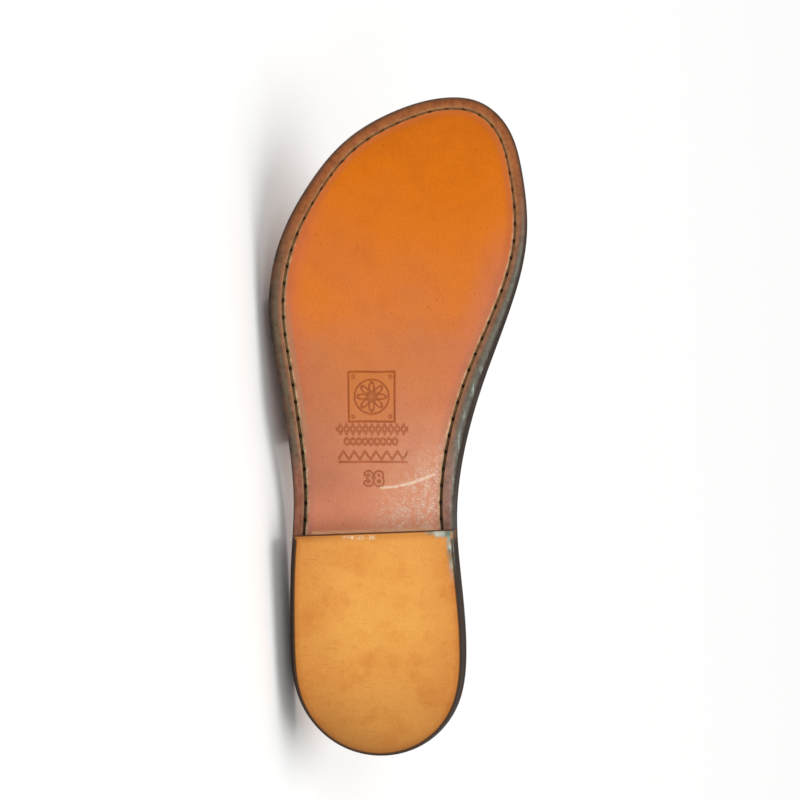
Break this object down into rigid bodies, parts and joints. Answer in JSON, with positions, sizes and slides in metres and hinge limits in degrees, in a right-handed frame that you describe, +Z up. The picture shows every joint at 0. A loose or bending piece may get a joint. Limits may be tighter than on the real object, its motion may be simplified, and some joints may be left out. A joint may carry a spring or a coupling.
{
  "type": "leather slide sandal",
  "caption": "Flat open-toe slide sandal for the right foot, lying on its outer side: channel-stitched leather sole, footbed, low leather heel and one wide forefoot band.",
  "frame": {"origin": "on the floor, under the middle of the box of the sandal as it lies on its outer side", "axes": "-X towards the toe, +Z up towards the sandal's inner side, -Y roughly the way the sole faces, leaning up by about 21 degrees"},
  "size_m": [0.2546, 0.0808, 0.0995],
  "materials": {
    "sole_leather": "burnished cognac sole leather with a dark brown edge",
    "footbed_leather": "smooth tan footbed leather",
    "heel_leather": "undyed natural leather with a dark brown rim",
    "strap_leather": "soft waxed brown leather"
  },
  "bodies": {
    "root": {"outsole": "sole_leather", "insole": "footbed_leather", "heel_lift": "heel_leather", "strap": "strap_leather"}
  },
  "joints": []
}
